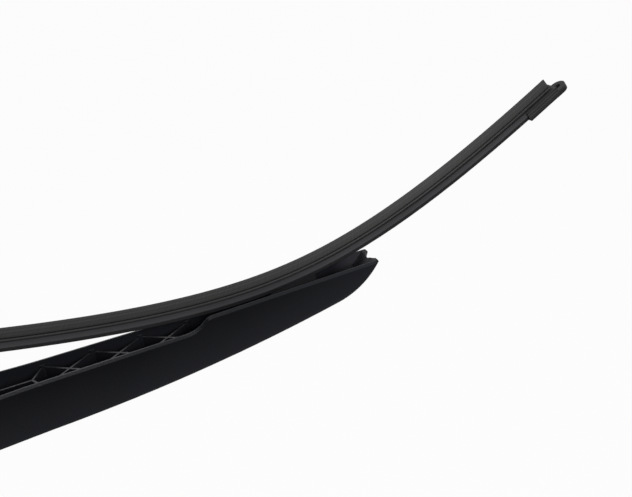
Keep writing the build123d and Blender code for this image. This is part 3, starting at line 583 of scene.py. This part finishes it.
sweep_tree = Tree("section_along_bow", {"Section": "Object", "Finish": "Material"})
sweep_start = sweep_tree.start
upright = sweep_tree.node("GeometryNodeSetCurveNormal", {"mode": "Z_UP"}, {"Curve": sweep_start["Geometry"]})
along = sweep_tree.node("GeometryNodeSplineParameter", output="Length")
marked = sweep_tree.node(
    "GeometryNodeStoreNamedAttribute",
    {"data_type": "FLOAT", "domain": "POINT"},
    {"Geometry": upright, "Name": "along", "Value": along},
)
profile = sweep_tree.node("GeometryNodeObjectInfo", None, {"Object": sweep_start["Section"]}, "Geometry")
position = sweep_tree.node("GeometryNodeInputPosition")
depth_below = sweep_tree.node("ShaderNodeSeparateXYZ", None, {"Vector": position}, "Y")
marked_profile = sweep_tree.node(
    "GeometryNodeStoreNamedAttribute",
    {"data_type": "FLOAT", "domain": "POINT"},
    {"Geometry": profile, "Name": "below_lip", "Value": depth_below},
)
rubber_skin = sweep_tree.node(
    "GeometryNodeCurveToMesh", None, {"Curve": marked, "Profile Curve": marked_profile, "Fill Caps": True}
)
sweep_tree.end(rubber_skin, sweep_start["Finish"])

RUBBER_DARK = (0.0172, 0.0170, 0.0168)
RUBBER_LIGHT = (0.0450, 0.0447, 0.0443)
rubber = Paint("graphite_rubber")
run = rubber.stored("along")
down = rubber.stored("below_lip")

CHALK_SCALE = 120.0
DIE_LINES = 900.0           # lines along the lip, from the extruder's die
STREAKS = 1500.0            # streaks across it, from wiping
STREAK_SLANT = 0.6
COAT_FROM = 1.0 * MM        # the graphite coat grows paler from here
COAT_TO = 3.6 * MM
LIT_FROM = 120 * MM        # the blade's outer part is painted paler as lit, and less so at its end
LIT_TO = 230 * MM
LIT_END = 295 * MM
chalk = rubber.noise(CHALK_SCALE, 4.0)
die = rubber.lines(down, DIE_LINES, 2.0)
wiped = rubber.lines(run + STREAK_SLANT * down, STREAKS, 2.0)
coat = rubber.ramp(down, COAT_FROM, COAT_TO)
outer_painted_light = rubber.ramp(run, LIT_FROM, LIT_TO) * (1.0 - 0.7 * rubber.ramp(run, LIT_TO, LIT_END))
marks = 0.35 * chalk + 0.2 * coat + 2.4 * (die - 0.5) + 0.7 * (wiped - 0.5)
coat_tone = rubber.between(marks + 0.55 * outer_painted_light - 0.1, RUBBER_DARK, RUBBER_LIGHT)

# Painted shadow: the lip's root and the neck down to the wing's top are painted black.
NECK_PAINTED_SHADOW = (0.0048, 0.0048, 0.0048)
NECK_FROM = (LIP_HEIGHT - 0.45) * MM
NECK_FULL = (LIP_HEIGHT - 0.2) * MM
NECK_END = WING_TOP * MM
NECK_END_BLEND = 0.02 * MM
neck = rubber.ramp(down, NECK_FROM, NECK_FULL) * rubber.ramp(down, NECK_END + NECK_END_BLEND, NECK_END)

CUT_PITCH = 0.8 * MM        # fine lines across the lip, from cutting
CUT_WANDER_SCALE = 900.0
CUT_WANDER = 2.5
wander = rubber.noise(CUT_WANDER_SCALE, 2.0)
cut = rubber.function("SINE", (2 * pi / CUT_PITCH) * run + CUT_WANDER * wander)
rubber.set(
    Base_Color=rubber.between(neck, coat_tone, NECK_PAINTED_SHADOW),
    Roughness=0.62 + 0.2 * (chalk - 0.5),
    Specular_IOR_Level=0.12,
    Normal=rubber.bump(cut, strength=0.03, distance=0.00003),
)
wiper_rubber = sweep_tree.make(
    open_line("swept_rubber", lip_line()), {"Section": section_line, "Finish": rubber.material}
)
bpy.data.objects.remove(section_line)
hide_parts("wiper_rubber")
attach(wiper_rubber, "blade")


# Floor and light: a pale floor, shown white to the camera, with a soft white sky and soft lamps.
# The floor lies well below the part's back, because the arm swings down there when it is lifted,
# and it is clear from below, so that the arm's smooth back can be looked at.
FLOOR_SIZE = 16.0
FLOOR_DROP = 0.26           # room for the lifted arm and its blade
FLOOR_COLOUR = (0.3, 0.3, 0.3, 1)
FLOOR_WHITE = 0.97          # share of plain white that the camera sees on the floor
floor_half = FLOOR_SIZE / 2
floor_z = cad_box[0].z - FLOOR_DROP
floor_mesh = bpy.data.meshes.new("floor")
corners = [(x * floor_half, y * floor_half, floor_z) for x, y in ((-1, -1), (1, -1), (1, 1), (-1, 1))]
floor_mesh.from_pydata(corners, [], [(0, 1, 2, 3)])
floor = bpy.data.objects.new("floor", floor_mesh)
bpy.context.scene.collection.objects.link(floor)


def white_to_camera(tree, surface, share):
    """Mixes plain white over a surface for the camera, reflections and glass."""
    path = tree.nodes.new("ShaderNodeLightPath").outputs
    amount = None
    for ray in ("Is Camera Ray", "Is Glossy Ray", "Is Transmission Ray"):
        step = tree.nodes.new("ShaderNodeMath")
        step.operation = "MAXIMUM"
        tree.links.new(path[ray], step.inputs[0])
        if amount:
            tree.links.new(amount, step.inputs[1])
        else:
            step.inputs[1].default_value = 0
        amount = step.outputs[0]
    shared = tree.nodes.new("ShaderNodeMath")
    shared.operation = "MULTIPLY"
    shared.inputs[1].default_value = share
    tree.links.new(amount, shared.inputs[0])
    white = tree.nodes.new("ShaderNodeEmission")
    blend = tree.nodes.new("ShaderNodeMixShader")
    tree.links.new(shared.outputs[0], blend.inputs["Fac"])
    tree.links.new(surface, blend.inputs[1])
    tree.links.new(white.outputs[0], blend.inputs[2])
    return blend.outputs[0]


pale = Paint("pale_floor")
pale.set(Base_Color=FLOOR_COLOUR, Roughness=0.9, Specular_IOR_Level=0.0)
from_above = Value(pale, white_to_camera(pale.tree, pale.shader.outputs[0], FLOOR_WHITE))
behind = pale.node("NewGeometry", output="Backfacing")
one_sided = pale.node("MixShader", None, {"Fac": behind, 1: from_above, 2: pale.node("BsdfTransparent")})
pale.feed(pale.tree.nodes["Material Output"].inputs["Surface"], one_sided)
floor_mesh.materials.append(pale.material)

SKY_STRENGTH = 0.075
world = bpy.data.worlds.new("soft_sky")
bpy.context.scene.world = world
world.use_nodes = True
sky = world.node_tree.nodes["Background"]
sky.inputs["Color"].default_value = (1, 1, 1, 1)
sky.inputs["Strength"].default_value = SKY_STRENGTH
white_sky = white_to_camera(world.node_tree, sky.outputs[0], share=1.0)
world.node_tree.links.new(white_sky, world.node_tree.nodes["World Output"].inputs["Surface"])


def soft_lamp(name, place, aim, size, watts):
    """A square lamp that faces what it is aimed at."""
    data = bpy.data.lights.new(name, "AREA")
    data.shape = "SQUARE"
    data.size = size
    data.energy = watts
    lamp = bpy.data.objects.new(name, data)
    bpy.context.scene.collection.objects.link(lamp)
    lamp.location = place
    lamp.rotation_mode = "QUATERNION"
    lamp.rotation_quaternion = (Vector(aim) - Vector(place)).to_track_quat("-Z", "Y")


soft_lamp("top_lamp", place=(0.1, -0.2, 0.9), aim=(0.15, 0, 0), size=0.4, watts=2.5)
soft_lamp("front_lamp", place=(0.12, -1.0, 0.43), aim=(0.2, 0, 0), size=0.35, watts=4.2)
soft_lamp("rim_lamp", place=(0.08, -0.2, 0.40), aim=(0.08, 0, 0.01), size=0.1, watts=0.437)
soft_lamp("back_lamp", place=(0.2, 1.0, 0.45), aim=(0.2, 0, 0), size=0.5, watts=2.2)
soft_lamp("end_lamp", place=(0.40, -0.34, 0.19), aim=(0.36, 0, 0.05), size=0.12, watts=0.75)

# Camera: the photograph's view, from a little above the arm and turned to its left.
# The picture is rolled, so the arm lies across it from lower left to upper right.
AIM = Vector((0.2612, 0.0, 0.0301))
VIEW_AZIMUTH = radians(-16.614)
VIEW_ELEVATION = radians(23.976)
VIEW_ROLL = radians(9.896)
VIEW_DISTANCE = 0.37887
VIEW_LENS = 45.524
level_share = cos(VIEW_ELEVATION)
back = Vector((sin(VIEW_AZIMUTH) * level_share, -cos(VIEW_AZIMUTH) * level_share, sin(VIEW_ELEVATION)))
camera = bpy.data.objects.new("camera", bpy.data.cameras.new("camera"))
bpy.context.scene.collection.objects.link(camera)
camera.data.lens = VIEW_LENS
camera.data.clip_start = 0.01
camera.location = AIM + back * VIEW_DISTANCE
camera.rotation_mode = "QUATERNION"
level = (-back).to_track_quat("-Z", "Y")
camera.rotation_quaternion = level @ Quaternion((0, 0, 1), -VIEW_ROLL)
bpy.context.scene.camera = camera
bpy.context.scene.view_settings.view_transform = "Standard"
